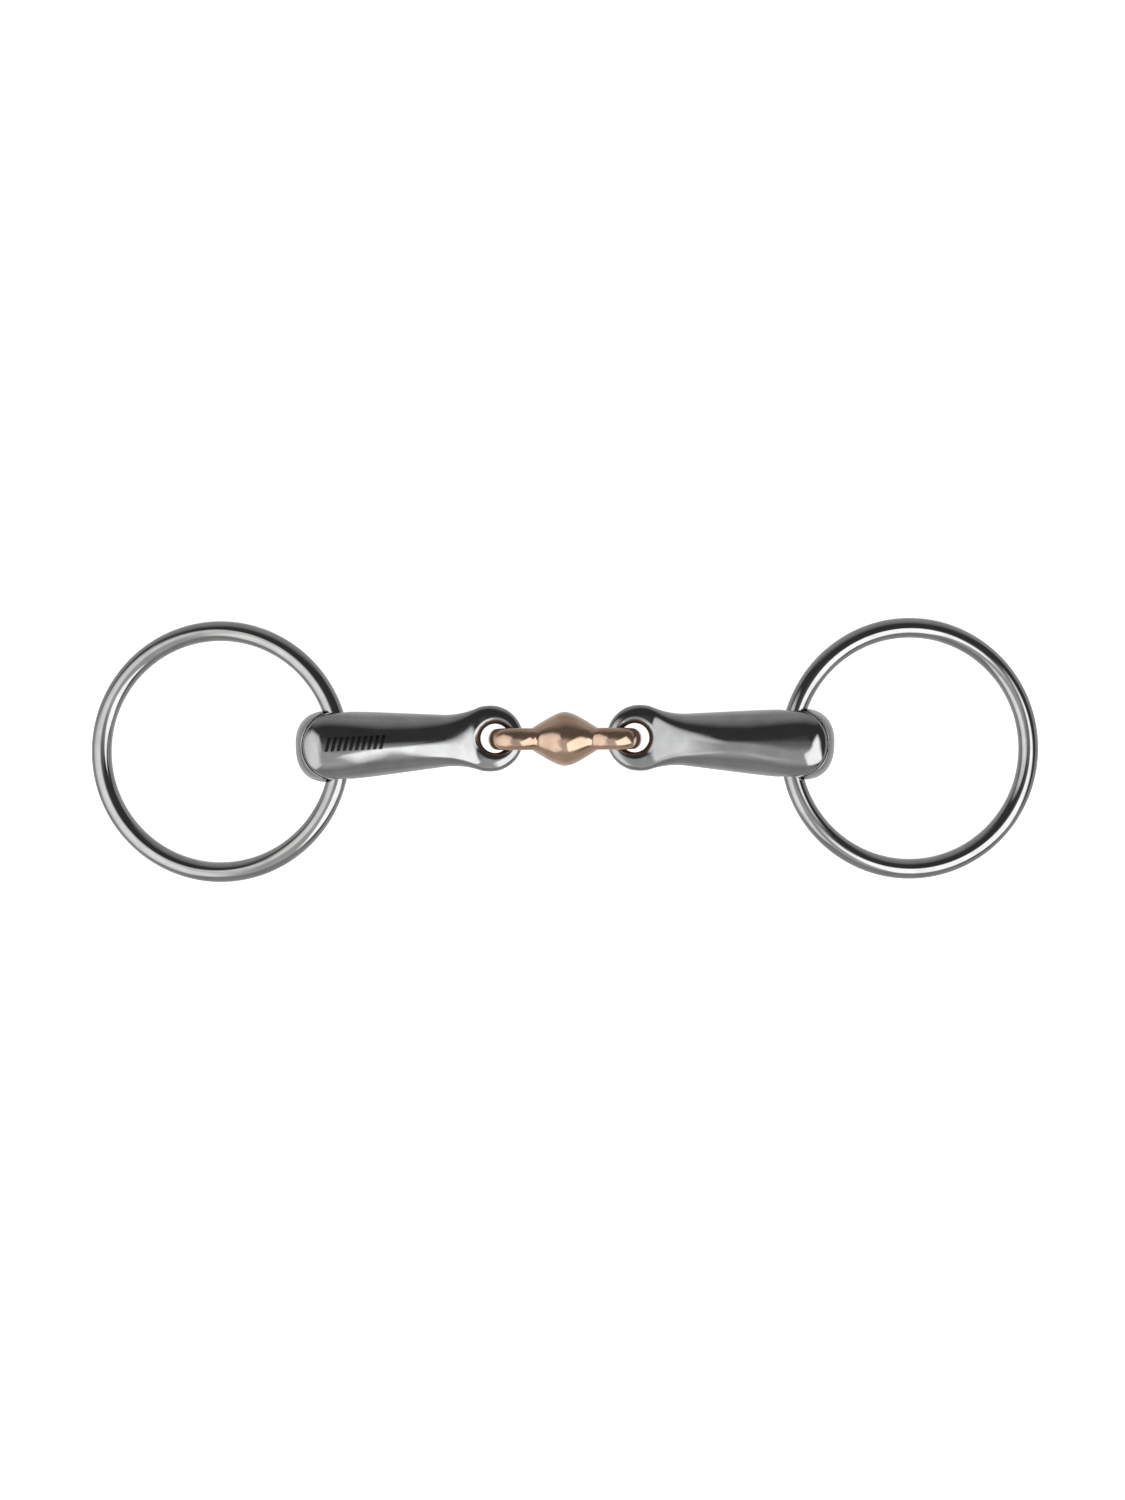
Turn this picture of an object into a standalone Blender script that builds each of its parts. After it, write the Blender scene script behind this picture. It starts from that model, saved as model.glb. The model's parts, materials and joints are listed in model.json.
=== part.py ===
"""A loose-ring snaffle bit lying on a table.

X runs along the bit, Y across it in the plane of the table, Z up from the table. The origin is on the
table under the middle of the bit. Each half of the mouthpiece is a hollow cannon: an eye at its inner
end, a ring hole and a closing strap at its outer end. A lozenge link joins the two eyes by its loops.
"""

from math import acos, asin, atan, copysign, cos, hypot, pi, radians, sin, sqrt

import bmesh
import bpy
from mathutils import Vector

MM = 0.001
GAP = 0.3 * MM  # between a strap and the cannon that it closes

# Rings: a bar bent and welded into a circle
RING_BAR = 3.175 * MM  # radius of the bar
RING_MIDDLE = 38.175 * MM  # radius of the bar's centre line
RING_SEGMENTS, BAR_SEGMENTS = 56, 12

# Cannon, measured along its own axis from the middle of the eye's inner wall, where it hinges
EYE_HOLE_AT = 6.75 * MM
EYE_HOLE = 4.6 * MM  # radius at its waist
EYE_RIM = 2.3 * MM  # radius of the rounding of its two mouths
EYE_AT, EYE_RADIUS = 8.4 * MM, 10.55 * MM
CANNON_TIP_AT = EYE_AT - EYE_RADIUS
EYE_HALF_DEPTH = 2.9 * MM
EYE_TIP_LENGTH = 3.4 * MM  # over which the eye's end rounds off
NECK_FILLET = 25.0 * MM
BODY_END_AT = 58.75 * MM  # where the taper ends and the rounded ring end begins
BODY_HALF_HEIGHT, BODY_HALF_DEPTH = 11.4 * MM, 10.8 * MM  # there
HEIGHT_TAPER, DEPTH_TAPER = 0.088, 0.1
TAPER_EASE = 8.0 * MM  # over which the taper levels out, on either side of its end
FACET_AT = 36.75 * MM  # where the flat that runs down to the eye begins
FACET_FALL = 5.6  # how fast it leaves the round body, per metre
FACET_EDGE = 6  # a higher power makes a sharper edge
CANNON_END_AT = 69.85 * MM
END_POWER = 2.45  # 2 is an ellipse; more is squarer
SECTION_POWER = 2.5  # of the section at the ring end; it is an ellipse, power 2, up to SQUARES_FROM
SQUARES_FROM = 40.0 * MM
CANNON_SIDES = 26

# Hollow inside the cannon, which opens into the ring hole
WALL = 2.2 * MM
HOLLOW_FROM, HOLLOW_TO = 24.0 * MM, 65.0 * MM

# Ring hole, across the cannon, and the seam between the cannon and its strap
RING_HOLE_AT = 56.85 * MM
RING_HOLE = 4.25 * MM
RING_HOLE_FLARE, RING_HOLE_FLARE_DEPTH = 0.4 * MM, 1.8 * MM
SEAM_RADIUS = 11.0 * MM
STRAP_FROM = RING_HOLE_AT + RING_HOLE - 0.5 * MM

# Lozenge link
LINK_HALF_HEIGHT, LINK_HALF_DEPTH = 8.6 * MM, 8.1 * MM
LINK_SHOULDER_AT = 12.2 * MM
LOZENGE_SLOPE, LOZENGE_CREST = 0.68, 3.5 * MM
LOOP_AT = 15.2 * MM  # middle of a loop
LOOP_HALF_LENGTH, LOOP_HALF_DEPTH = 6.8 * MM, 5.5 * MM  # of the bar's centre line
LOOP_BAR_WIDTH, LOOP_BAR_DEPTH = 7.0 * MM, 4.6 * MM
LOOP_SEGMENTS, LOOP_SIDES, LOZENGE_SIDES = 28, 12, 24
LINK_SLIDE = 0.6 * MM  # how far the link has slid across, towards -Y, in its eyes

# How the bit lies: each side droops a little, and stands on its ring end and its ring's far side
HINGE_AT = 15.35 * MM
DROOP = radians(2.5)
STANDS_ON = BODY_HALF_DEPTH - DEPTH_TAPER * TAPER_EASE / 4  # half depth where the taper ends
SIDE_TILT = asin((STANDS_ON - LINK_HALF_DEPTH) / BODY_END_AT)
SAGITTA = RING_MIDDLE - sqrt(RING_MIDDLE**2 - BODY_HALF_HEIGHT**2)
RING_OFFSET = RING_MIDDLE - SAGITTA / 2  # ring hole to ring centre, so that the bar's bow is shared
RING_HOLE_HEIGHT = LINK_HALF_DEPTH + RING_HOLE_AT * sin(SIDE_TILT)
RING_SLOPE = asin((RING_HOLE_HEIGHT - RING_BAR) / (RING_OFFSET + RING_MIDDLE))
REACH = RING_HOLE_AT * cos(SIDE_TILT) + RING_OFFSET * cos(RING_SLOPE)
HINGE_Y = REACH * sin(DROOP)  # brings the ring centres to y = 0

STEEL = ("polished_steel", (0.62, 0.62, 0.63), 0.12)
RING_STEEL = ("ring_steel", (0.66, 0.66, 0.66), 0.1)
STRAP_STEEL = ("strap_steel", (0.58, 0.58, 0.59), 0.16)
COPPER = ("copper_alloy", (0.72, 0.46, 0.33), 0.2)


def clear_scene():
    for old in list(bpy.data.objects):
        bpy.data.objects.remove(old, do_unlink=True)


def metal(name, colour, roughness):
    """A metallic Principled material, made once."""
    if name in bpy.data.materials:
        return bpy.data.materials[name]
    material = bpy.data.materials.new(name)
    material.use_nodes = True
    shader = material.node_tree.nodes["Principled BSDF"]
    shader.inputs["Base Color"].default_value = (*colour, 1)
    shader.inputs["Metallic"].default_value = 1
    shader.inputs["Roughness"].default_value = roughness
    return material


def empty(name, location, rotation, parent=None):
    frame = bpy.data.objects.new(name, None)
    bpy.context.collection.objects.link(frame)
    frame.location, frame.rotation_euler, frame.parent = location, rotation, parent
    return frame


def object_of(name, bm, parent=None, look=None):
    """An object of this bmesh, with its normals facing out, shaded smooth."""
    bmesh.ops.recalc_face_normals(bm, faces=bm.faces)
    mesh = bpy.data.meshes.new(name)
    bm.to_mesh(mesh)
    bm.free()
    mesh.shade_smooth()
    mesh.set_sharp_from_angle(angle=radians(40))
    if look:
        mesh.materials.append(metal(*look))
    made = bpy.data.objects.new(name, mesh)
    made.parent = parent
    bpy.context.collection.objects.link(made)
    return made


def as_cutter(made):
    made.hide_render = True
    made.display_type = "WIRE"
    return made


def combine(target, operation, other):
    step = target.modifiers.new(f"{operation.lower()}_{other.name}", "BOOLEAN")
    step.operation, step.solver, step.object = operation, "EXACT", other


def loft(sections):
    """A closed bmesh through rings of points. The first and the last section are single points."""
    bm = bmesh.new()
    rings = [[bm.verts.new(p) for p in section] for section in sections]
    for one, two in zip(rings, rings[1:]):
        count = max(len(one), len(two))
        for i in range(count):
            j = (i + 1) % count
            corners = [one[i % len(one)], one[j % len(one)], two[j % len(two)], two[i % len(two)]]
            bm.faces.new(list(dict.fromkeys(corners)))
    return bm


def turned(profile, segments):
    """A closed bmesh turned about Z from (radius, height) points that start and end on the axis."""
    sections = [[Vector((0, 0, profile[0][1]))]]
    for radius, height in profile[1:-1]:
        turns = [2 * pi * i / segments for i in range(segments)]
        sections.append([Vector((radius * cos(a), radius * sin(a), height)) for a in turns])
    return loft(sections + [[Vector((0, 0, profile[-1][1]))]])


def eased(start, end, count):
    """Stations from start to end, close together at both ends."""
    return [start + (end - start) * (1 - cos(pi * i / count)) / 2 for i in range(count + 1)]


def rounded_end(s, start, end, power=2):
    """1 up to start, then down to 0 at end along a superellipse."""
    share = (s - start) / (end - start)
    return 1 if share <= 0 else max(0, 1 - share**power) ** (1 / power)


def along_taper(s):
    """How far station s lies before the taper's end, eased out to 0 past it."""
    ahead = BODY_END_AT - s
    if abs(ahead) < TAPER_EASE:
        return (ahead + TAPER_EASE) ** 2 / (4 * TAPER_EASE)
    return max(0, ahead)


def cannon_half_height(s):
    """Half the cannon's height in plan: the eye's circle, a fillet, then the taper to the ring end."""
    angle = atan(HEIGHT_TAPER)
    at_eye = BODY_HALF_HEIGHT - HEIGHT_TAPER * (BODY_END_AT - EYE_AT)
    # the fillet's centre lies its radius outside the taper line, and outside the eye's circle
    along = EYE_RADIUS + NECK_FILLET
    above = at_eye + NECK_FILLET / cos(angle)
    lean = acos(above * cos(angle) / along)
    centre = EYE_AT + along * sin(lean - angle)
    height = along * cos(lean - angle)
    leaves_eye = EYE_AT + (centre - EYE_AT) * EYE_RADIUS / along
    if s < leaves_eye:
        return sqrt(max(0, EYE_RADIUS**2 - (s - EYE_AT) ** 2))
    if s < centre + NECK_FILLET * sin(angle):
        return height - sqrt(NECK_FILLET**2 - (s - centre) ** 2)
    taper = BODY_HALF_HEIGHT - HEIGHT_TAPER * along_taper(s)
    return taper * rounded_end(s, BODY_END_AT, CANNON_END_AT, END_POWER)


def cannon_half_depths(s):
    """(half depth of the round body, half depth to the facet) of the cannon."""
    body = BODY_HALF_DEPTH - DEPTH_TAPER * along_taper(s)
    facet = max(EYE_HALF_DEPTH, body - FACET_FALL * max(0, FACET_AT - s) ** 2)
    end = rounded_end(s, BODY_END_AT, CANNON_END_AT, END_POWER)
    tip = rounded_end(-s, -CANNON_TIP_AT - EYE_TIP_LENGTH, -CANNON_TIP_AT)
    return body * end * tip, facet * end * tip


def section_power(s):
    share = min(1, max(0, (s - SQUARES_FROM) / (BODY_END_AT - SQUARES_FROM)))
    return 2 + (SECTION_POWER - 2) * share**2 * (3 - 2 * share)


def swept(value, power):
    """The sine or cosine value, kept in sign, that draws a superellipse of this power."""
    return copysign(abs(value) ** (2 / power), value)


def cannon_section(s, inset=0.0, share=1.0):
    """The ring of points round the cannon at station s, drawn in by inset and scaled by share."""
    height = (cannon_half_height(s) - inset) * share
    body_depth, facet_depth = ((d - inset) * share for d in cannon_half_depths(s))
    flatness = (body_depth / facet_depth) ** FACET_EDGE - 1
    power = section_power(s)
    points = []
    for i in range(CANNON_SIDES):
        a = 2 * pi * (i + 0.5) / CANNON_SIDES
        depth = body_depth * swept(sin(a), power)
        depth /= (1 + flatness * abs(sin(a)) ** FACET_EDGE) ** (1 / FACET_EDGE)
        points.append(Vector((s, height * swept(cos(a), power), depth)))
    return points


def cannon_blank():
    """The outer form of cannon and strap together."""
    stations = eased(CANNON_TIP_AT, EYE_AT, 8)[1:]
    stations += eased(EYE_AT, FACET_AT, 9)[1:]
    stations += eased(FACET_AT, BODY_END_AT, 4)[1:]
    stations += [BODY_END_AT + (CANNON_END_AT - BODY_END_AT) * sin(pi / 18 * i) for i in range(1, 9)]
    sections = [cannon_section(s) for s in stations]
    return loft([[Vector((CANNON_TIP_AT, 0, 0))], *sections, [Vector((CANNON_END_AT, 0, 0))]])


def cannon_hollow():
    """The space inside the cannon, a wall's thickness in from its outer form."""
    length = HOLLOW_TO - HOLLOW_FROM
    sections = []
    for s in eased(HOLLOW_FROM, HOLLOW_TO, 10)[1:-1]:
        share = sqrt(1 - abs(2 * (s - HOLLOW_FROM) / length - 1) ** 5)
        sections.append(cannon_section(s, WALL, share))
    return loft([[Vector((HOLLOW_FROM, 0, 0))], *sections, [Vector((HOLLOW_TO, 0, 0))]])


def flared_hole(radius, straight, flare_radius, flare_depth, end, segments):
    """A bmesh that cuts a hole with rounded mouths, from -end to end along Z."""
    steps = [pi / 2 * i / 4 for i in range(5)]
    half = [(radius + flare_radius * (1 - cos(a)), straight + flare_depth * sin(a)) for a in steps]
    half.append((radius + flare_radius, end))
    lower = [(r, -z) for r, z in reversed(half)]
    return turned([(0, -end), *lower, *half, (0, end)], segments)


def eye_hole_cutter(side):
    straight = EYE_HALF_DEPTH - EYE_RIM
    bm = flared_hole(EYE_HOLE, straight, EYE_RIM, EYE_RIM, 3 * EYE_HALF_DEPTH, 32)
    bmesh.ops.translate(bm, verts=bm.verts, vec=(EYE_HOLE_AT, 0, 0))
    return as_cutter(object_of(f"{side.name}_eye_hole", bm, side))


def ring_hole_cutter(side):
    straight = BODY_HALF_HEIGHT - RING_HOLE_FLARE_DEPTH
    end = 2 * BODY_HALF_HEIGHT
    bm = flared_hole(RING_HOLE, straight, RING_HOLE_FLARE, RING_HOLE_FLARE_DEPTH, end, 24)
    cutter = as_cutter(object_of(f"{side.name}_ring_hole", bm, side))
    cutter.location = (RING_HOLE_AT, 0, 0)
    cutter.rotation_euler = (pi / 2, 0, 0)
    return cutter


def seam_block(side, label, radius, step_at):
    """A tall block over the cannon up to step_at, with a round end about the ring hole."""
    bm = bmesh.new()
    wide, deep = 2 * BODY_HALF_HEIGHT, 2 * BODY_HALF_DEPTH
    turn = acos((step_at - RING_HOLE_AT) / radius)
    arc = [turn - 2 * turn * i / 24 for i in range(25)]
    outline = [(-wide, wide), (step_at, wide)]
    outline += [(RING_HOLE_AT + radius * cos(a), radius * sin(a)) for a in arc]
    outline += [(step_at, -wide), (-wide, -wide)]
    floor = bm.faces.new([bm.verts.new((x, y, -deep)) for x, y in outline])
    raised = bmesh.ops.extrude_face_region(bm, geom=[floor])["geom"]
    moved = [v for v in raised if isinstance(v, bmesh.types.BMVert)]
    bmesh.ops.translate(bm, verts=moved, vec=(0, 0, 2 * deep))
    return as_cutter(object_of(f"{side.name}_{label}", bm, side))


def add_cannon(name, side, ring_hole):
    cannon = object_of(name, cannon_blank(), side, STEEL)
    hollow = as_cutter(object_of(f"{side.name}_hollow", cannon_hollow(), side))
    combine(cannon, "INTERSECT", seam_block(side, "seam", SEAM_RADIUS, RING_HOLE_AT))
    combine(cannon, "DIFFERENCE", hollow)
    combine(cannon, "DIFFERENCE", ring_hole)
    combine(cannon, "DIFFERENCE", eye_hole_cutter(side))


def add_strap(name, side, ring_hole):
    strap = object_of(name, cannon_blank(), side, STRAP_STEEL)
    combine(strap, "DIFFERENCE", seam_block(side, "seam_gap", SEAM_RADIUS + GAP, STRAP_FROM))
    combine(strap, "DIFFERENCE", ring_hole)


def add_ring(name, side):
    """The ring, about an empty on the ring hole's axis, where it swings."""
    swing = empty(f"{side.name}_swing", (RING_HOLE_AT, 0, 0), (0, SIDE_TILT + RING_SLOPE, 0), side)
    bm = bmesh.new()
    rows = []
    for i in range(RING_SEGMENTS):
        a = 2 * pi * i / RING_SEGMENTS
        row = []
        for j in range(BAR_SEGMENTS):
            b = 2 * pi * j / BAR_SEGMENTS
            out = RING_MIDDLE + RING_BAR * cos(b)
            row.append(bm.verts.new((RING_OFFSET + out * cos(a), out * sin(a), RING_BAR * sin(b))))
        rows.append(row)
    for one, two in zip(rows, rows[1:] + rows[:1]):
        for j in range(BAR_SEGMENTS):
            k = (j + 1) % BAR_SEGMENTS
            bm.faces.new((one[j], two[j], two[k], one[k]))
    object_of(name, bm, swing, RING_STEEL)


def add_side(label, facing):
    """One half of the bit outside the link. facing is 1 for +X and -1 for -X."""
    turn = -DROOP if facing > 0 else pi + DROOP
    side = empty(f"{label}_side", (facing * HINGE_AT, HINGE_Y, LINK_HALF_DEPTH), (0, -SIDE_TILT, turn))
    ring_hole = ring_hole_cutter(side)
    add_cannon(f"{label}_cannon", side, ring_hole)
    add_strap(f"{label}_end_strap", side, ring_hole)
    add_ring(f"{label}_ring", side)


def lozenge():
    """The link's body: round in section, highest and deepest at the middle."""
    sections = []
    for x in eased(-LINK_SHOULDER_AT, LINK_SHOULDER_AT, 20)[1:-1]:
        fall = LOZENGE_SLOPE * (hypot(x, LOZENGE_CREST) - LOZENGE_CREST)
        end = rounded_end(abs(x), 0.8 * LINK_SHOULDER_AT, LINK_SHOULDER_AT, 2.5)
        height = (LINK_HALF_HEIGHT - fall) * end
        depth = (LINK_HALF_DEPTH - 0.6 * fall) * end
        turns = [2 * pi * i / LOZENGE_SIDES for i in range(LOZENGE_SIDES)]
        sections.append([Vector((x, height * cos(a), depth * sin(a))) for a in turns])
    start, end = Vector((-LINK_SHOULDER_AT, 0, 0)), Vector((LINK_SHOULDER_AT, 0, 0))
    return loft([[start], *sections, [end]])


def loop(facing):
    """An oval loop of flattened bar, standing in the XZ plane."""
    bm = bmesh.new()
    rows = []
    for i in range(LOOP_SEGMENTS):
        a = 2 * pi * i / LOOP_SEGMENTS
        middle = Vector((facing * LOOP_AT + LOOP_HALF_LENGTH * cos(a), 0, LOOP_HALF_DEPTH * sin(a)))
        outward = Vector((LOOP_HALF_DEPTH * cos(a), 0, LOOP_HALF_LENGTH * sin(a))).normalized()
        row = []
        for j in range(LOOP_SIDES):
            b = 2 * pi * j / LOOP_SIDES
            across = Vector((0, LOOP_BAR_WIDTH / 2 * sin(b), 0))
            row.append(bm.verts.new(middle + outward * LOOP_BAR_DEPTH / 2 * cos(b) + across))
        rows.append(row)
    for one, two in zip(rows, rows[1:] + rows[:1]):
        for j in range(LOOP_SIDES):
            k = (j + 1) % LOOP_SIDES
            bm.faces.new((one[j], two[j], two[k], one[k]))
    return bm


def add_link():
    place = empty("link_middle", (0, HINGE_Y - LINK_SLIDE, LINK_HALF_DEPTH), (0, 0, 0))
    link = object_of("lozenge_link", lozenge(), place, COPPER)
    for label, facing in (("left", -1), ("right", 1)):
        combine(link, "UNION", as_cutter(object_of(f"{label}_loop", loop(facing), place)))


clear_scene()
add_link()
add_side("left", -1)
add_side("right", 1)
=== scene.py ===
"""The looks of a loose-ring snaffle bit that lies on a pale studio table.

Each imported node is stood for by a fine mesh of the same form. Cannons, straps and link are described by
fields: functions that are negative inside the metal and give about the distance to its surface. The
surface is drawn where the field is zero, and its normals come from the field's slope, so that polished
metal mirrors the studio without a ripple. Lengths are in metres.
"""

import json
from itertools import product
from math import acos, atan, cos, pi, radians, sin

import bpy
import numpy as np
from mathutils import Matrix, Vector

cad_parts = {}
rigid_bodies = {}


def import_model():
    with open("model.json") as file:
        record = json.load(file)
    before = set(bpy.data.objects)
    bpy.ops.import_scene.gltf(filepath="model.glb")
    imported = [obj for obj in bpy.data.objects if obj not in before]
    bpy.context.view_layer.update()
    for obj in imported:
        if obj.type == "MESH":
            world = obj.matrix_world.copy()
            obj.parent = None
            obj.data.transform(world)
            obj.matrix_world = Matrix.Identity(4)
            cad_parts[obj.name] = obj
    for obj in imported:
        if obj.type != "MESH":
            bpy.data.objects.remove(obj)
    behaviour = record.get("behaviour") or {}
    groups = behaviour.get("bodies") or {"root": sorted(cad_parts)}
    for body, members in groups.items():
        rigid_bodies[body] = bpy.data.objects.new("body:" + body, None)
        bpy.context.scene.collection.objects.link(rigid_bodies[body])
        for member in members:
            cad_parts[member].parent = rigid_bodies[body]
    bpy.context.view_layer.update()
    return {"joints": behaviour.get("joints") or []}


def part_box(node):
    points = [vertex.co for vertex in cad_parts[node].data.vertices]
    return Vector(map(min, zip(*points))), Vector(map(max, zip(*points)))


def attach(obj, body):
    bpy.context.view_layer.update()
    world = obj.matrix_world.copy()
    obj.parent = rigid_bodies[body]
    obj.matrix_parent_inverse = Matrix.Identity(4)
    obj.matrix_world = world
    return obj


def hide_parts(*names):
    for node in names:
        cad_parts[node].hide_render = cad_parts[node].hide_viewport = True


MM = 0.001

# Rings
RING_BAR = 3.175 * MM
RING_MIDDLE = 38.175 * MM
RING_SEGMENTS, BAR_SEGMENTS = 360, 48

# Cannon and strap, in their own frame: along X from the hinge, Y across, Z up
EYE_HOLE_AT, EYE_HOLE, EYE_RIM = 6.75 * MM, 4.6 * MM, 2.3 * MM
EYE_AT, EYE_RADIUS, EYE_HALF_DEPTH = 8.4 * MM, 10.55 * MM, 2.9 * MM
EYE_LEAST = 2.0 * MM  # half height past the tip of the eye, where only its circle counts
NECK_FILLET = 25.0 * MM
BODY_END_AT = 58.75 * MM
BODY_HALF_HEIGHT, BODY_HALF_DEPTH = 11.4 * MM, 10.8 * MM
HEIGHT_TAPER, DEPTH_TAPER = 0.088, 0.1
TAPER_EASE = 8.0 * MM  # over which the taper levels out, on either side of its end
FACET_AT, FACET_FALL = 36.75 * MM, 5.6
FACET_BLEND = 0.8 * MM  # over which the facet levels out into the eye
CANNON_END_AT, END_POWER = 69.85 * MM, 2.45
SECTION_POWER = 2.5  # of the section at the ring end; it is an ellipse, power 2, up to SQUARES_FROM
SQUARES_FROM = 40.0 * MM
WALL = 2.2 * MM
HOLLOW_FROM, HOLLOW_TO = 24.0 * MM, 65.0 * MM
RING_HOLE_AT, RING_HOLE, RING_HOLE_EDGE = 56.85 * MM, 4.25 * MM, 0.4 * MM
SEAM_RADIUS, SEAM_EDGE, CANNON_SEAM_EDGE = 11.0 * MM, 0.4 * MM, 0.9 * MM
SEAM_WELD = 0.05 * MM  # how far the strap reaches into the cannon below the groove of the seam
STRAP_FROM = RING_HOLE_AT + RING_HOLE - 0.5 * MM
CANNON_PITCH, STRAP_PITCH = 0.36 * MM, 0.24 * MM

# Link, in its own frame: X along the bit, Z up
LINK_HALF_HEIGHT, LINK_HALF_DEPTH = 8.6 * MM, 8.1 * MM
LINK_SHOULDER_AT, SHOULDER_POWER = 12.2 * MM, 2.5
SHOULDER_FROM = 0.8  # of the way to the shoulder, where the lozenge's end begins to round off
LOZENGE_SLOPE, LOZENGE_CREST = 0.68, 3.5 * MM
LOZENGE_DEPTH_SLOPE = 0.6  # how much the depth falls off for the height's fall
LOZENGE_LEAST = 1.5 * MM  # half height, inside the loops
LOOP_AT = 15.2 * MM
LOOP_HALF_LENGTH, LOOP_HALF_DEPTH = 6.8 * MM, 5.5 * MM
LOOP_BAR_WIDTH, LOOP_BAR_DEPTH = 7.0 * MM, 4.6 * MM
LOOP_NARROWS_FROM, LOOP_NARROWS_OVER = 2.8 * MM, 12.0 * MM  # how its width rounds off towards its far end
LINK_BLEND = 1.6 * MM
LINK_WAVE, LINK_WAVE_LENGTH = 0.05 * MM, 1.1 * MM  # of its hand-polished unevenness
LINK_PITCH = 0.3 * MM
MARGIN = 1.2 * MM  # of a mesh's grid about its piece

# Metals: two colours that cloud into each other, and the least and the most roughness
STEEL = ((0.61, 0.62, 0.61), (0.54, 0.54, 0.55), 0.05, 0.13)
STRAP_STEEL = ((0.72, 0.73, 0.72), (0.6, 0.6, 0.6), 0.14, 0.26)
RING_STEEL = ((0.66, 0.66, 0.65), (0.58, 0.58, 0.58), 0.04, 0.11)
COPPER = ((0.86, 0.57, 0.39), (0.7, 0.43, 0.28), 0.09, 0.2)
COPPER_METALLIC, COPPER_COAT_IOR, COPPER_COAT_ROUGHNESS = 0.86, 2.1, 0.08
CLOUD_LENGTH, CLOUD_RISE = 6.0 * MM, (0.35, 0.7)  # from which noise to which the dull colour comes in
GRAIN_LENGTH, GRAIN_WIDTH, GRAIN_DEPTH = 9.0 * MM, 0.22 * MM, 0.0015 * MM
GRAIN_RISE, GRAIN_DETAIL = (0.35, 0.75), 3.0
BORE_REACH, BORE_EDGE = 5.9 * MM, 0.9 * MM  # how far from the eye hole's middle the metal is rough and pitted, with painted shade in its colour
# painted shade: the dark brown colour of the eye hole and its rim stands in for the shade in the hole
BORE_PAINTED_SHADE, BORE_ROUGHNESS = (0.16, 0.12, 0.1), 0.4
BORE_PIT, BORE_PIT_DEPTH, BORE_RISE = 0.35 * MM, 0.03 * MM, (0.2, 0.8)

# A plain etched mark on the left cannon: slanted bars, along the cannon's own X
MARK_FROM, MARK_PITCH, MARK_BARS, MARK_BAR = 41.5 * MM, 1.9 * MM, 10, 0.58
MARK_ACROSS, MARK_HALF_HEIGHT, MARK_SLANT = -0.5 * MM, 2.2 * MM, 0.3
MARK_EDGE = 0.06 * MM
MARK_COLOUR, MARK_ROUGHNESS = (0.05, 0.05, 0.05), 0.35

# Picture: the width of table that it spans, and how the camera stands over it
PICTURE_PIXELS = (1125, 1500)
PICTURE_WIDTH = 356.1 * MM
LENS, SENSOR = 100.0, 36.0
CAMERA_AIM = (-0.8 * MM, 0.0)
CAMERA_ROLL = radians(-0.28)

# Studio: radiances of the room, where angles are tilts from straight up, in degrees
ROOM_GLOW = 0.042
CROWN_GLOW, CROWN_EDGE = 0.07, (10, 18)
NORTH_GLOW, NORTH_RISE, NORTH_EDGE = 0.235, (37, 79), (0.57, 0.97)
SOUTH_NEAR, SOUTH_FAR, SOUTH_FALL = 0.84, 0.26, (9, 67)
SOUTH_EDGE, SOUTH_START = (-0.7, -0.9), (4, 12)
TABLE_NEAR, TABLE_FAR, TABLE_RISE = 0.29, 0.51, (100, 150)
HORIZON = (78, 88)
TABLE_REACH, TABLE_LIFT = 3.0, 0.95
# Softboxes. Each is as bright as said at its middle, loses a share of it by the rim, and has a rim that
# fades over a share of its size.
SOFTBOXES = {
    "octagonal_softbox": {
        "sides": 8,
        "middle": (-0.41, -0.27, 0.56),
        "facing": (0.72, 0.02, -0.235),
        "half_size": (0.61, 0.54),
        "turn": radians(-51),
        "brightness": 1.1,
        "loss": 0.35,
        "softness": 0.15,
    },
    "square_softbox": {
        "sides": 4,
        "middle": (0.306, -0.237, 0.417),
        "facing": (-0.975, 0.29, -0.815),
        "half_size": (0.284, 0.242),
        "turn": radians(37),
        "brightness": 1.5,
        "loss": 0,
        "softness": 0.15,
    },
    "overhead_card": {
        "sides": 4,
        "middle": (-0.046, -0.29, 0.7),
        "facing": (0, 0, -1),
        "half_size": (0.25, 0.25),
        "turn": 0,
        "brightness": 0.42,
        "loss": 0,
        "softness": 0.4,
    },
}
HUB, HALFWAY = 0.02, 0.5  # rings of a softbox's mesh, as shares of its size
TABLE_COLOUR, TABLE_ROUGHNESS = (0.85, 0.85, 0.85, 1), 0.9
WHITE = (1, 1, 1, 1)


# Fields


def round_max(a, b, radius):
    """Where both fields are inside, with the edge between them rounded."""
    corner = np.hypot(np.maximum(radius + a, 0), np.maximum(radius + b, 0))
    return np.minimum(-radius, np.maximum(a, b)) + corner


def smooth_min(a, b, width):
    """Where either field is inside, with the valley between them filled."""
    share = np.clip(width - np.abs(a - b), 0, None) / width
    return np.minimum(a, b) - share**3 * width / 6


def slope(field, points, step=0.01 * MM):
    """The field's gradient at the points, by differences."""
    columns = []
    for axis in np.eye(3) * step:
        columns.append((field(points + axis) - field(points - axis)) / (2 * step))
    return np.stack(columns, axis=1)


def distance_from_norm(norm, points, step=0.01 * MM):
    """About the distance to the surface where a norm is 1: its excess over 1, by its steepness."""
    here = norm(points)
    rises = [(norm(points + axis) - here) / step for axis in np.eye(3) * step]
    return (here - 1) / np.maximum(np.sqrt(sum(rise**2 for rise in rises)), 1)


def along_taper(s):
    """How far station s lies before the taper's end, eased out to 0 past it."""
    ahead = BODY_END_AT - s
    near = (ahead + TAPER_EASE) ** 2 / (4 * TAPER_EASE)
    return np.where(np.abs(ahead) < TAPER_EASE, near, np.maximum(ahead, 0))


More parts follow.
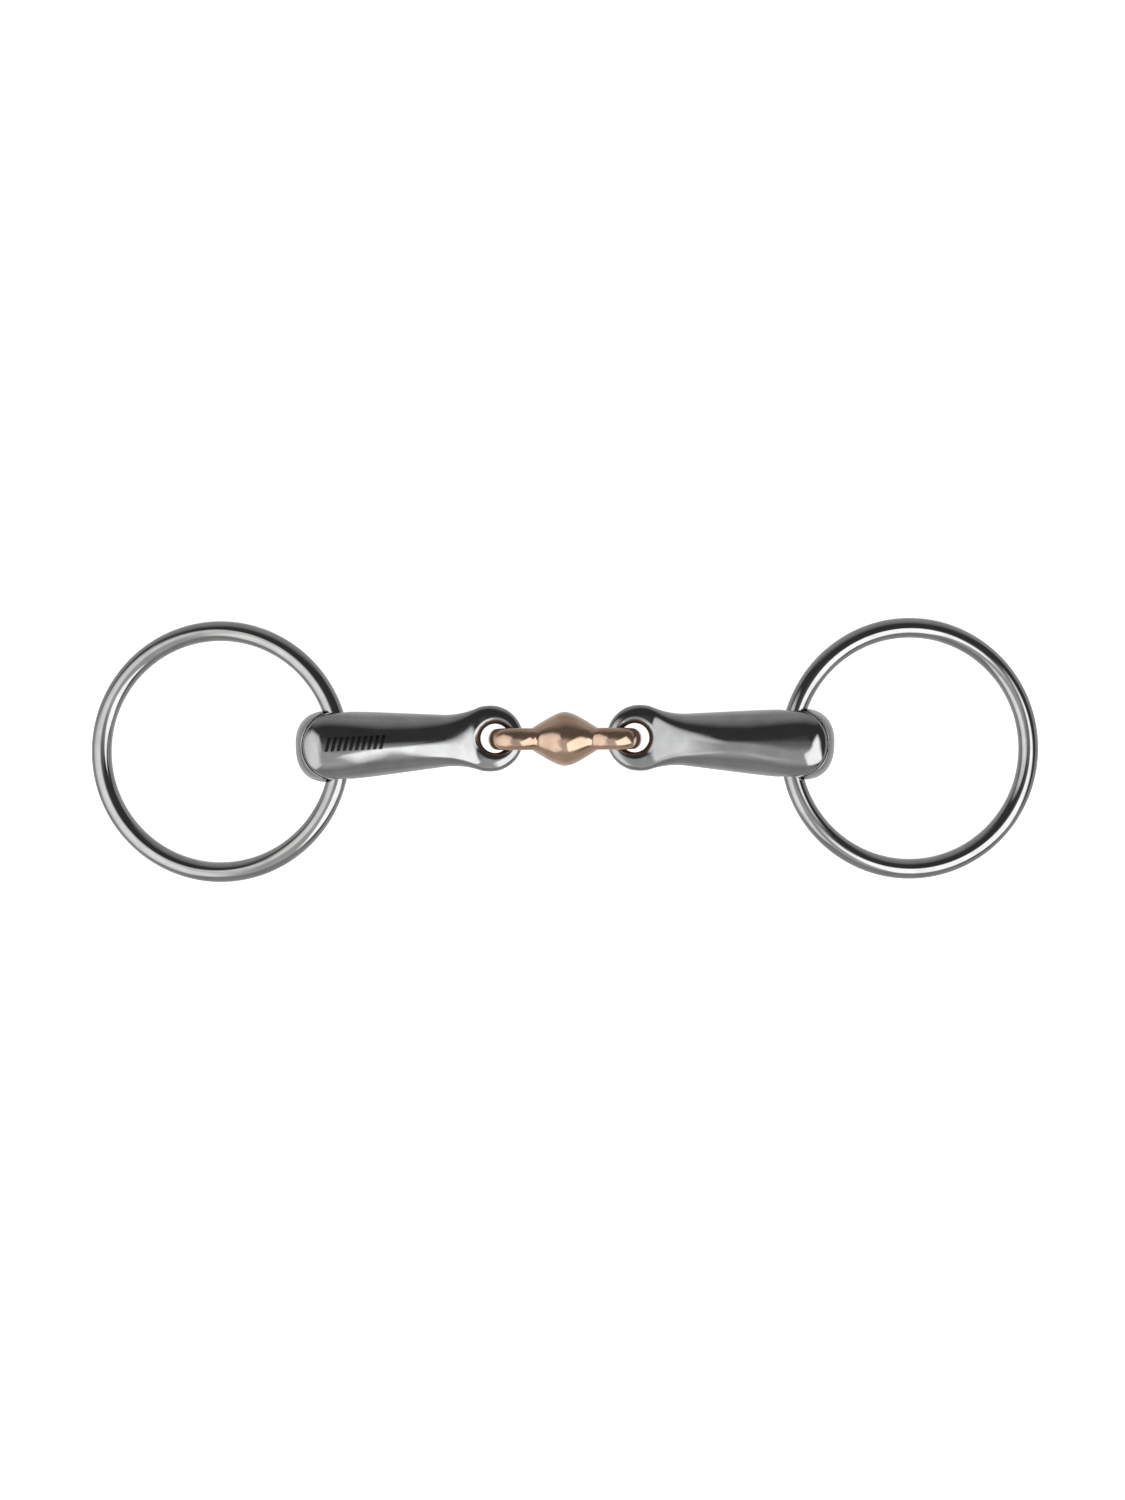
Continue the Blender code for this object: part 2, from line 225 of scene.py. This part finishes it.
def half_height(s):
    """Half the cannon's height in plan: the eye's circle, a fillet, then the taper."""
    angle = atan(HEIGHT_TAPER)
    at_eye = BODY_HALF_HEIGHT - HEIGHT_TAPER * (BODY_END_AT - EYE_AT)
    reach = EYE_RADIUS + NECK_FILLET
    lean = acos((at_eye + NECK_FILLET / cos(angle)) * cos(angle) / reach)
    centre = EYE_AT + reach * sin(lean - angle)
    height = reach * cos(lean - angle)
    leaves_eye = EYE_AT + (centre - EYE_AT) * EYE_RADIUS / reach
    eye = np.sqrt(np.maximum(EYE_RADIUS**2 - (s - EYE_AT) ** 2, EYE_LEAST**2))
    fillet = height - np.sqrt(np.maximum(NECK_FILLET**2 - (s - centre) ** 2, 0))
    taper = BODY_HALF_HEIGHT - HEIGHT_TAPER * along_taper(s)
    return np.where(s < leaves_eye, eye, np.where(s < centre + NECK_FILLET * sin(angle), fillet, taper))


def half_depths(s):
    """(half depth of the round body, half depth to the facet) of the cannon."""
    body = BODY_HALF_DEPTH - DEPTH_TAPER * along_taper(s)
    fall = body - FACET_FALL * np.maximum(0, FACET_AT - s) ** 2
    facet = -smooth_min(-fall, np.full_like(s, -EYE_HALF_DEPTH), FACET_BLEND)
    return body, np.minimum(facet, body)


def form_norm(points):
    """1 on the outer form of cannon and strap together, and less inside it."""
    s, y, z = points.T
    eye = (y**2 + (s - EYE_AT) ** 2) / EYE_RADIUS**2
    plan = np.where(s < EYE_AT, eye, (y / half_height(s)) ** 2)
    body, facet = half_depths(s)
    share = np.clip((s - SQUARES_FROM) / (BODY_END_AT - SQUARES_FROM), 0, 1)
    power = 1 + (SECTION_POWER / 2 - 1) * share**2 * (3 - 2 * share)
    square = (plan**power + ((z / body) ** 2) ** power) ** (1 / power)
    section = (square**3 + z**6 * (facet**-6 - body**-6)) ** (1 / 6)
    end = np.maximum(0, (s - BODY_END_AT) / (CANNON_END_AT - BODY_END_AT))
    return (section**END_POWER + end**END_POWER) ** (1 / END_POWER)


def cannon_field(points):
    """The hollow cannon, up to the seam, with its ring hole and its eye."""
    s, y, z = points.T
    form = distance_from_norm(form_norm, points)
    middle, half = (HOLLOW_TO + HOLLOW_FROM) / 2, (HOLLOW_TO - HOLLOW_FROM) / 2
    hollow = round_max(form + WALL, np.abs(s - middle) - half, 2 * WALL)
    seam = np.hypot(np.maximum(s - RING_HOLE_AT, 0), y) - SEAM_RADIUS
    metal = round_max(np.maximum(form, -hollow), seam, CANNON_SEAM_EDGE)
    metal = round_max(metal, RING_HOLE - np.hypot(s - RING_HOLE_AT, z), RING_HOLE_EDGE)
    return round_max(metal, EYE_HOLE - np.hypot(s - EYE_HOLE_AT, y), EYE_RIM)


def strap_field(points):
    """The strap, from the seam to the end."""
    s, y, z = points.T
    form = distance_from_norm(form_norm, points)
    metal = round_max(form, SEAM_RADIUS - SEAM_WELD - np.hypot(s - RING_HOLE_AT, y), SEAM_EDGE)
    metal = round_max(metal, STRAP_FROM - s, SEAM_EDGE)
    return round_max(metal, RING_HOLE - np.hypot(s - RING_HOLE_AT, z), RING_HOLE_EDGE)


def lozenge_norm(points):
    """1 on the skin of the lozenge in the middle of the link."""
    x, y, z = points.T
    fall = LOZENGE_SLOPE * (np.hypot(x, LOZENGE_CREST) - LOZENGE_CREST)
    fall = np.minimum(fall, LINK_HALF_HEIGHT - LOZENGE_LEAST)
    half_depth = LINK_HALF_DEPTH - LOZENGE_DEPTH_SLOPE * fall
    around = np.hypot(y / (LINK_HALF_HEIGHT - fall), z / half_depth)
    end = np.maximum(0, np.abs(x) / LINK_SHOULDER_AT - SHOULDER_FROM) / (1 - SHOULDER_FROM)
    return (around**SHOULDER_POWER + end**SHOULDER_POWER) ** (1 / SHOULDER_POWER)


def loop_norm(points):
    """1 on the skin of the oval loops at the two ends of the link."""
    x, y, z = points.T
    x = np.abs(x) - LOOP_AT
    oval = np.hypot(x / LOOP_HALF_LENGTH, z / LOOP_HALF_DEPTH)
    outward = np.hypot(x / LOOP_HALF_LENGTH**2, z / LOOP_HALF_DEPTH**2)
    away = (oval - 1) * oval / np.maximum(outward, 1)
    narrowing = np.clip((x - LOOP_NARROWS_FROM) / LOOP_NARROWS_OVER, 0, 0.9)
    half_width = LOOP_BAR_WIDTH / 2 * np.sqrt(1 - narrowing**2)
    return np.hypot(away / (LOOP_BAR_DEPTH / 2), y / half_width)


def link_field(points):
    """The link: lozenge and loops run together, with the waves that polishing by hand has left."""
    lozenge = distance_from_norm(lozenge_norm, points)
    loops = distance_from_norm(loop_norm, points)
    x, y, z = points.T / LINK_WAVE_LENGTH
    wave = np.sin(x + 1.3 * np.sin(0.7 * y + 0.5 * z)) * np.cos(0.8 * y - 0.4 * x + np.sin(0.6 * z))
    return smooth_min(lozenge, loops, LINK_BLEND) + LINK_WAVE * (1 + wave) / 2


# Meshes


def cell_corners(shape):
    """The eight corners of a grid's cells, each as slices of the grid, which has this shape."""
    for offset in product((0, 1), repeat=3):
        yield tuple(slice(d, n - 1 + d) for d, n in zip(offset, shape))


def net_of(field, low, high, pitch):
    """(points, quads) of a net over the field's zero surface: a point in each cell that it crosses."""
    axes = [np.arange(a, b + pitch, pitch) for a, b in zip(low, high)]
    grid = np.stack(np.meshgrid(*axes, indexing="ij"), axis=-1)
    value = field(grid.reshape(-1, 3)).reshape(grid.shape[:3])
    inside = value < 0
    count = sum(inside[corner].astype(int) for corner in cell_corners(value.shape))
    crossed = (count > 0) & (count < 8)
    index = np.full(crossed.shape, -1)
    index[crossed] = np.arange(crossed.sum())
    points = grid[:-1, :-1, :-1][crossed] + pitch / 2
    quads = []
    for axis in range(3):
        one, two = (axis + 1) % 3, (axis + 2) % 3
        near = np.moveaxis(inside, axis, 0)[:-1]
        far = np.moveaxis(inside, axis, 0)[1:]
        starts = np.argwhere(np.moveaxis(near != far, 0, axis))
        leaving = np.moveaxis(near, 0, axis)[tuple(starts.T)]
        around = []
        for back_one, back_two in ((0, 0), (1, 0), (1, 1), (0, 1)):
            cell = starts.copy()
            cell[:, one] -= back_one
            cell[:, two] -= back_two
            around.append(index[tuple(cell.T)])
        quad = np.stack(around, axis=1)
        quads.append(np.where(leaving[:, None], quad, quad[:, ::-1]))
    return points, np.concatenate(quads)


def settled(field, points, pitch, rounds=3):
    """The points brought onto the field's zero surface, and the surface's normals there."""
    for _ in range(rounds):
        gradient = slope(field, points)
        steepness = (gradient**2).sum(axis=1, keepdims=True)
        move = -field(points)[:, None] * gradient / np.maximum(steepness, 0.05)
        length = np.linalg.norm(move, axis=1, keepdims=True)
        points = points + move * np.minimum(1, pitch / 2 / np.maximum(length, 1e-12))
    gradient = slope(field, points)
    return points, gradient / np.linalg.norm(gradient, axis=1, keepdims=True)


def evened(field, points, quads, pitch, rounds=3):
    """The net's points drawn along the surface towards their neighbours, so that its quads are even."""
    ends = np.concatenate([quads[:, [i, (i + 1) % 4]] for i in range(4)])
    degree = np.bincount(ends.reshape(-1), minlength=len(points))[:, None]
    for _ in range(rounds):
        total = np.zeros_like(points)
        np.add.at(total, ends[:, 0], points[ends[:, 1]])
        np.add.at(total, ends[:, 1], points[ends[:, 0]])
        points = (points + total / degree) / 2
        points, _ = settled(field, points, pitch, rounds=1)
    return settled(field, points, pitch)


def skin_of(field, low, high, pitch):
    """(points, normals, quads, own coordinates) of the field's zero surface."""
    points, quads = net_of(field, low, high, pitch)
    points, _ = settled(field, points, pitch)
    points, normals = evened(field, points, quads, pitch)
    return points, normals, quads, points


def side_skins():
    """The skins of a cannon and of its strap."""
    low = (EYE_AT - EYE_RADIUS - MARGIN, -BODY_HALF_HEIGHT - MARGIN, -BODY_HALF_DEPTH - MARGIN)
    high = (CANNON_END_AT + MARGIN, BODY_HALF_HEIGHT + MARGIN, BODY_HALF_DEPTH + MARGIN)
    strap_low = (RING_HOLE_AT + RING_HOLE - MARGIN, *low[1:])
    cannon = skin_of(cannon_field, low, high, CANNON_PITCH)
    return cannon, skin_of(strap_field, strap_low, high, STRAP_PITCH)


def link_skin():
    """The skin of the link."""
    end = LOOP_AT + LOOP_HALF_LENGTH + LOOP_BAR_DEPTH / 2
    high = (end + MARGIN, LINK_HALF_HEIGHT + MARGIN, LINK_HALF_DEPTH + MARGIN)
    return skin_of(link_field, [-v for v in high], high, LINK_PITCH)


def ring_skin():
    """The skin of a ring about its centre. Its own coordinates run along the bar from the ring hole."""
    around = 2 * pi * np.arange(RING_SEGMENTS) / RING_SEGMENTS - pi
    bar = 2 * pi * np.arange(BAR_SEGMENTS) / BAR_SEGMENTS
    turn, roll = np.meshgrid(around, bar, indexing="ij")
    flat = np.zeros_like(turn)
    outward = np.stack([np.cos(roll) * np.cos(turn), np.cos(roll) * np.sin(turn), np.sin(roll)], axis=-1)
    centre = np.stack([np.cos(turn), np.sin(turn), flat], axis=-1) * RING_MIDDLE
    own = np.stack([RING_MIDDLE * turn, RING_BAR * np.sin(roll), RING_BAR * np.cos(roll)], axis=-1)
    index = np.arange(turn.size).reshape(turn.shape)
    next_bar, next_turn = np.roll(index, -1, axis=1), np.roll(index, -1, axis=0)
    quads = np.stack([index, next_turn, np.roll(next_turn, -1, axis=1), next_bar], axis=-1)
    points = centre + RING_BAR * outward
    return points.reshape(-1, 3), outward.reshape(-1, 3), quads.reshape(-1, 4), own.reshape(-1, 3)


# Shaders


class Sums:
    """Arithmetic in a node tree: each call adds a node and gives its output."""

    def __init__(self, tree):
        self.tree = tree

    def add(self, kind, **settings):
        node = self.tree.nodes.new(kind)
        for name, value in settings.items():
            setattr(node, name, value)
        return node

    def feed(self, socket, value):
        if isinstance(value, bpy.types.NodeSocket):
            self.tree.links.new(value, socket)
        else:
            socket.default_value = value

    def attribute(self, name, kind):
        return self.add("ShaderNodeAttribute", attribute_name=name).outputs[kind]

    def math(self, operation, *values):
        node = self.add("ShaderNodeMath", operation=operation)
        for socket, value in zip(node.inputs, values):
            self.feed(socket, value)
        return node.outputs[0]

    def times(self, *values):
        product_so_far = values[0]
        for value in values[1:]:
            product_so_far = self.math("MULTIPLY", product_so_far, value)
        return product_so_far

    def ramp(self, value, start, end, low=0.0, high=1.0, course="SMOOTHSTEP"):
        """low up to start, high from end on, and a smooth rise between."""
        node = self.add("ShaderNodeMapRange", interpolation_type=course)
        if start > end:
            start, end, low, high = end, start, high, low
        for name, given in (("From Min", start), ("From Max", end), ("To Min", low), ("To Max", high)):
            self.feed(node.inputs[name], given)
        self.feed(node.inputs["Value"], value)
        return node.outputs["Result"]

    def noise(self, vector, lengths, detail=2.0):
        """Noise from 0 to 1, whose blobs have about these lengths along the vector's axes."""
        spread = self.add("ShaderNodeMapping")
        self.feed(spread.inputs["Vector"], vector)
        spread.inputs["Scale"].default_value = [1 / length for length in lengths]
        node = self.add("ShaderNodeTexNoise")
        node.inputs["Scale"].default_value = 1
        node.inputs["Detail"].default_value = detail
        self.feed(node.inputs["Vector"], spread.outputs[0])
        return node.outputs[0]

    def blend(self, share, one, other):
        """The colour one where share is 0, and other where it is 1."""
        node = self.add("ShaderNodeMix", data_type="RGBA")
        self.feed(node.inputs["Factor"], share)
        for name, colour in (("A", one), ("B", other)):
            socket = next(i for i in node.inputs if i.name == name and i.type == "RGBA")
            self.feed(socket, (*colour, 1) if isinstance(colour, tuple) else colour)
        return next(o for o in node.outputs if o.type == "RGBA")

    def shift(self, share, one, other):
        """The number one where share is 0, and other where it is 1."""
        return self.math("ADD", one, self.times(share, self.math("SUBTRACT", other, one)))

    def bump(self, height, distance, under=None):
        node = self.add("ShaderNodeBump")
        node.inputs["Distance"].default_value = distance
        self.feed(node.inputs["Height"], height)
        if under is not None:
            self.feed(node.inputs["Normal"], under)
        return node.outputs[0]


def etched_mark(sums, own):
    """1 on the mark's slanted bars, by the cannon's own coordinates."""
    split = sums.add("ShaderNodeSeparateXYZ")
    sums.feed(split.inputs[0], own)
    along, across, up = split.outputs
    across = sums.math("SUBTRACT", across, MARK_ACROSS)
    along = sums.math("SUBTRACT", along, MARK_FROM)
    along = sums.math("SUBTRACT", along, sums.times(across, MARK_SLANT))
    bar_half = MARK_BAR * MARK_PITCH / 2
    off_bar = sums.math("PINGPONG", sums.math("SUBTRACT", along, MARK_PITCH / 2), MARK_PITCH / 2)
    bars = sums.ramp(off_bar, bar_half + MARK_EDGE, bar_half - MARK_EDGE)
    row_half = MARK_BARS * MARK_PITCH / 2
    middle = sums.math("ABSOLUTE", sums.math("SUBTRACT", along, row_half))
    row = sums.ramp(middle, row_half + MARK_EDGE, row_half - MARK_EDGE)
    away = sums.math("ABSOLUTE", across)
    height = sums.ramp(away, MARK_HALF_HEIGHT + MARK_EDGE, MARK_HALF_HEIGHT - MARK_EDGE)
    return sums.times(bars, row, height, sums.ramp(up, 0, MARK_EDGE))


def metal(name, look, metallic=1.0, has_bore=False, has_mark=False):
    """Polished metal, clouded in colour, streaked in roughness and finely scratched along its own X."""
    bright, dull, least, most = look
    material = bpy.data.materials.new(name)
    material.use_nodes = True
    shader = material.node_tree.nodes["Principled BSDF"]
    shader.inputs["Metallic"].default_value = metallic
    sums = Sums(material.node_tree)
    own = sums.attribute("own", "Vector")
    clouds = sums.ramp(sums.noise(own, [CLOUD_LENGTH] * 3), *CLOUD_RISE)
    grain = sums.noise(own, (GRAIN_LENGTH, GRAIN_WIDTH, GRAIN_WIDTH), GRAIN_DETAIL)
    colour = sums.blend(clouds, bright, dull)
    roughness = sums.shift(sums.ramp(grain, *GRAIN_RISE), least, most)
    roughness = sums.math("ADD", roughness, sums.times(clouds, (most - least) / 2))
    normal = sums.bump(grain, GRAIN_DEPTH)
    # painted shade: in and round the eye hole the colour is blended to a dark brown that stands in for
    # shade; the roughness and pits there are the surface's own
    if has_bore:
        bore = sums.attribute("bore", "Fac")
        pits = sums.noise(own, [BORE_PIT] * 3, GRAIN_DETAIL)
        hole_shade_and_roughness = sums.ramp(sums.math("ADD", bore, sums.math("SUBTRACT", pits, 0.5)), *BORE_RISE)
        colour = sums.blend(hole_shade_and_roughness, colour, BORE_PAINTED_SHADE)
        roughness = sums.shift(hole_shade_and_roughness, roughness, BORE_ROUGHNESS)
        normal = sums.bump(sums.times(hole_shade_and_roughness, pits), BORE_PIT_DEPTH, normal)
    if has_mark:
        mark = etched_mark(sums, own)
        colour = sums.blend(mark, colour, MARK_COLOUR)
        roughness = sums.shift(mark, roughness, MARK_ROUGHNESS)
    sums.feed(shader.inputs["Base Color"], colour)
    sums.feed(shader.inputs["Roughness"], roughness)
    sums.feed(shader.inputs["Normal"], normal)
    return material


def copper_alloy():
    """The link's copper, tarnished, with a gloss over it that pales its highlights."""
    material = metal("copper_alloy", COPPER, COPPER_METALLIC)
    shader = material.node_tree.nodes["Principled BSDF"]
    shader.inputs["Coat Weight"].default_value = 1
    shader.inputs["Coat IOR"].default_value = COPPER_COAT_IOR
    shader.inputs["Coat Roughness"].default_value = COPPER_COAT_ROUGHNESS
    return material


# Studio


def studio_world():
    """A dark room over a grey table, paler to the south, and plain white where the camera sees it."""
    world = bpy.data.worlds.new("studio")
    world.use_nodes = True
    sums = Sums(world.node_tree)
    split = sums.add("ShaderNodeSeparateXYZ")
    sums.feed(split.inputs[0], sums.add("ShaderNodeTexCoord").outputs["Generated"])
    _, y, z = split.outputs
    tilt = sums.math("MULTIPLY", sums.math("ARCCOSINE", z), 180 / pi)
    level = sums.math("SQRT", sums.math("SUBTRACT", 1.0, sums.math("MULTIPLY", z, z)))
    northward = sums.math("DIVIDE", y, sums.math("MAXIMUM", level, 1e-4))

    north = sums.times(sums.ramp(tilt, *NORTH_RISE, 0, NORTH_GLOW), sums.ramp(northward, *NORTH_EDGE))
    south = sums.ramp(tilt, *SOUTH_FALL, SOUTH_NEAR, SOUTH_FAR, course="LINEAR")
    south = sums.times(south, sums.ramp(northward, *SOUTH_EDGE), sums.ramp(tilt, *SOUTH_START))
    crown = sums.ramp(tilt, *CROWN_EDGE, CROWN_GLOW, 0)
    room = sums.math("MAXIMUM", sums.math("MAXIMUM", north, south), sums.math("MAXIMUM", crown, ROOM_GLOW))
    below = sums.ramp(tilt, *HORIZON)
    table = sums.times(sums.ramp(tilt, *TABLE_RISE, TABLE_NEAR, TABLE_FAR), below)
    room = sums.times(room, sums.math("SUBTRACT", 1.0, below))
    seen = sums.add("ShaderNodeLightPath").outputs["Is Camera Ray"]
    background = world.node_tree.nodes["Background"]
    background.inputs["Color"].default_value = WHITE
    sums.feed(background.inputs["Strength"], sums.math("MAXIMUM", sums.math("ADD", room, table), seen))
    return world


def softbox_fabric():
    """Lets through what a panel's cover attribute leaves, and glows as its glow attribute says."""
    material = bpy.data.materials.new("softbox_fabric")
    material.use_nodes = True
    sums = Sums(material.node_tree)
    glow = sums.add("ShaderNodeEmission")
    sums.feed(glow.inputs["Strength"], sums.attribute("glow", "Fac"))
    mix = sums.add("ShaderNodeMixShader")
    sums.feed(mix.inputs[0], sums.attribute("cover", "Fac"))
    sums.feed(mix.inputs[1], sums.add("ShaderNodeBsdfTransparent").outputs[0])
    sums.feed(mix.inputs[2], glow.outputs[0])
    sums.feed(material.node_tree.nodes["Material Output"].inputs["Surface"], mix.outputs[0])
    return material


def add_softbox(name, fabric, sides, middle, facing, half_size, turn, brightness, loss, softness):
    """A flat glowing panel with this many sides and a soft rim, which only reflections show."""
    shares = (HUB, HALFWAY, 1 - softness, 1 + softness)
    corners, glow, quads = [], [], []
    for i, share in enumerate(shares):
        for j in range(sides):
            a = 2 * pi * (j + 0.5) / sides
            reach = share / cos(pi / sides)
            corners.append((half_size[0] * reach * cos(a), half_size[1] * reach * sin(a), 0))
            glow.append(brightness * (1 - loss * min(share, 1) ** 2))
            k = (j + 1) % sides
            if i:
                quads.append(((i - 1) * sides + j, (i - 1) * sides + k, i * sides + k, i * sides + j))
    mesh = bpy.data.meshes.new(name)
    mesh.from_pydata(corners, [], [*quads, list(range(sides))])
    cover = [1.0] * (3 * sides) + [0.0] * sides
    for label, values in (("glow", glow), ("cover", cover)):
        mesh.attributes.new(label, "FLOAT", "POINT").data.foreach_set("value", values)
    z = -Vector(facing).normalized()
    x = Vector((0, 1, 0)).cross(z).normalized()
    turned = Matrix((x, z.cross(x), z)).transposed().to_4x4()
    panel = bpy.data.objects.new(name, mesh)
    panel.matrix_world = Matrix.Translation(middle) @ turned @ Matrix.Rotation(turn, 4, "Z")
    mesh.materials.append(fabric)
    panel.visible_camera = False
    panel.visible_shadow = False
    bpy.context.scene.collection.objects.link(panel)


def add_table():
    """A plain table that no reflection shows, lifted to a near white."""
    mesh = bpy.data.meshes.new("table")
    corners = [(-TABLE_REACH, -TABLE_REACH, 0), (TABLE_REACH, -TABLE_REACH, 0)]
    corners += [(TABLE_REACH, TABLE_REACH, 0), (-TABLE_REACH, TABLE_REACH, 0)]
    mesh.from_pydata(corners, [], [(0, 1, 2, 3)])
    table = bpy.data.objects.new("table", mesh)
    material = bpy.data.materials.new("pale_table")
    material.use_nodes = True
    shader = material.node_tree.nodes["Principled BSDF"]
    shader.inputs["Base Color"].default_value = TABLE_COLOUR
    shader.inputs["Roughness"].default_value = TABLE_ROUGHNESS
    shader.inputs["Emission Color"].default_value = WHITE
    shader.inputs["Emission Strength"].default_value = TABLE_LIFT
    mesh.materials.append(material)
    table.visible_glossy = False
    bpy.context.scene.collection.objects.link(table)


def add_camera():
    """A camera straight above, from which the picture spans PICTURE_WIDTH at the link's middle."""
    data = bpy.data.cameras.new("camera")
    data.lens, data.sensor_width = LENS, SENSOR
    camera = bpy.data.objects.new("camera", data)
    bpy.context.scene.collection.objects.link(camera)
    picture_height = PICTURE_WIDTH * PICTURE_PIXELS[1] / PICTURE_PIXELS[0]
    camera.location = (*CAMERA_AIM, LINK_HALF_DEPTH + picture_height * LENS / SENSOR)
    camera.rotation_euler = (0, 0, CAMERA_ROLL)
    return camera


# Pieces


def frame_of(origin, along, across):
    """The matrix of the frame at origin, with X along, Y near across, and Z square to both."""
    x = Vector(along).normalized()
    z = x.cross(Vector(across)).normalized()
    axes = Matrix((x, z.cross(x), z)).transposed()
    return Matrix.Translation(Vector(origin)) @ axes.to_4x4()


def eye_bore(own):
    """How deep in the cannon's eye hole each point lies: 1 inside it, and 0 past its rim."""
    away = np.hypot(own[:, 0] - EYE_HOLE_AT, own[:, 1])
    return np.clip((BORE_REACH - away) / BORE_EDGE + 0.5, 0, 1)


def add_piece(skin, place, node, body, material):
    """The skin set in place as a piece that rides on the body and stands for the node."""
    points, normals, quads, own = skin
    turn, shift = np.array(place.to_3x3()), np.array(place.translation)
    mesh = bpy.data.meshes.new(f"{node}_skin")
    mesh.from_pydata((points @ turn.T + shift).tolist(), [], quads.tolist())
    mesh.shade_smooth()
    mesh.normals_split_custom_set_from_vertices((normals @ turn.T).tolist())
    mesh.materials.append(material)
    mesh.attributes.new("own", "FLOAT_VECTOR", "POINT").data.foreach_set("vector", own.reshape(-1))
    if node.endswith("cannon"):
        # the bore attribute marks the eye hole and its rim, where shade is painted into the colour
        mesh.attributes.new("bore", "FLOAT", "POINT").data.foreach_set("value", eye_bore(own))
    piece = bpy.data.objects.new(f"{node}_skin", mesh)
    bpy.context.scene.collection.objects.link(piece)
    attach(piece, body)
    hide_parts(node)
    return piece


for old in list(bpy.data.objects):
    bpy.data.objects.remove(old, do_unlink=True)
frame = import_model()
joints = {joint["name"]: joint for joint in frame["joints"]}

cannon_metals = {
    "left": metal("left_mirror_steel", STEEL, has_bore=True, has_mark=True),
    "right": metal("right_mirror_steel", STEEL, has_bore=True),
}
strap_steel = metal("strap_steel", STRAP_STEEL)
ring_steel = metal("ring_steel", RING_STEEL)
copper = copper_alloy()

cannon, strap = side_skins()
link = link_skin()
ring = ring_skin()

low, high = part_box("lozenge_link")
link_place = Matrix.Translation((low + high) / 2)
add_piece(link, link_place, "lozenge_link", "link", copper)
for label in ("left", "right"):
    fold, swing = joints[f"{label}_fold"], joints[f"{label}_ring_swing"]
    across = -Vector(fold["axis"])
    hinge, ring_hole = Vector(fold["pos_m"]), Vector(swing["pos_m"])
    side_place = frame_of(hinge, ring_hole - hinge, across)
    low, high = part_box(f"{label}_ring")
    ring_middle = (low + high) / 2
    ring_place = frame_of(ring_middle, ring_middle - ring_hole, across)
    side = f"{label}_side"
    add_piece(cannon, side_place, f"{label}_cannon", side, cannon_metals[label])
    add_piece(strap, side_place, f"{label}_end_strap", side, strap_steel)
    add_piece(ring, ring_place, f"{label}_ring", f"{label}_ring", ring_steel)

add_table()
fabric = softbox_fabric()
for name, softbox in SOFTBOXES.items():
    add_softbox(name, fabric, **softbox)
bpy.context.scene.world = studio_world()
bpy.context.scene.view_settings.view_transform = "Standard"
bpy.context.scene.camera = add_camera()
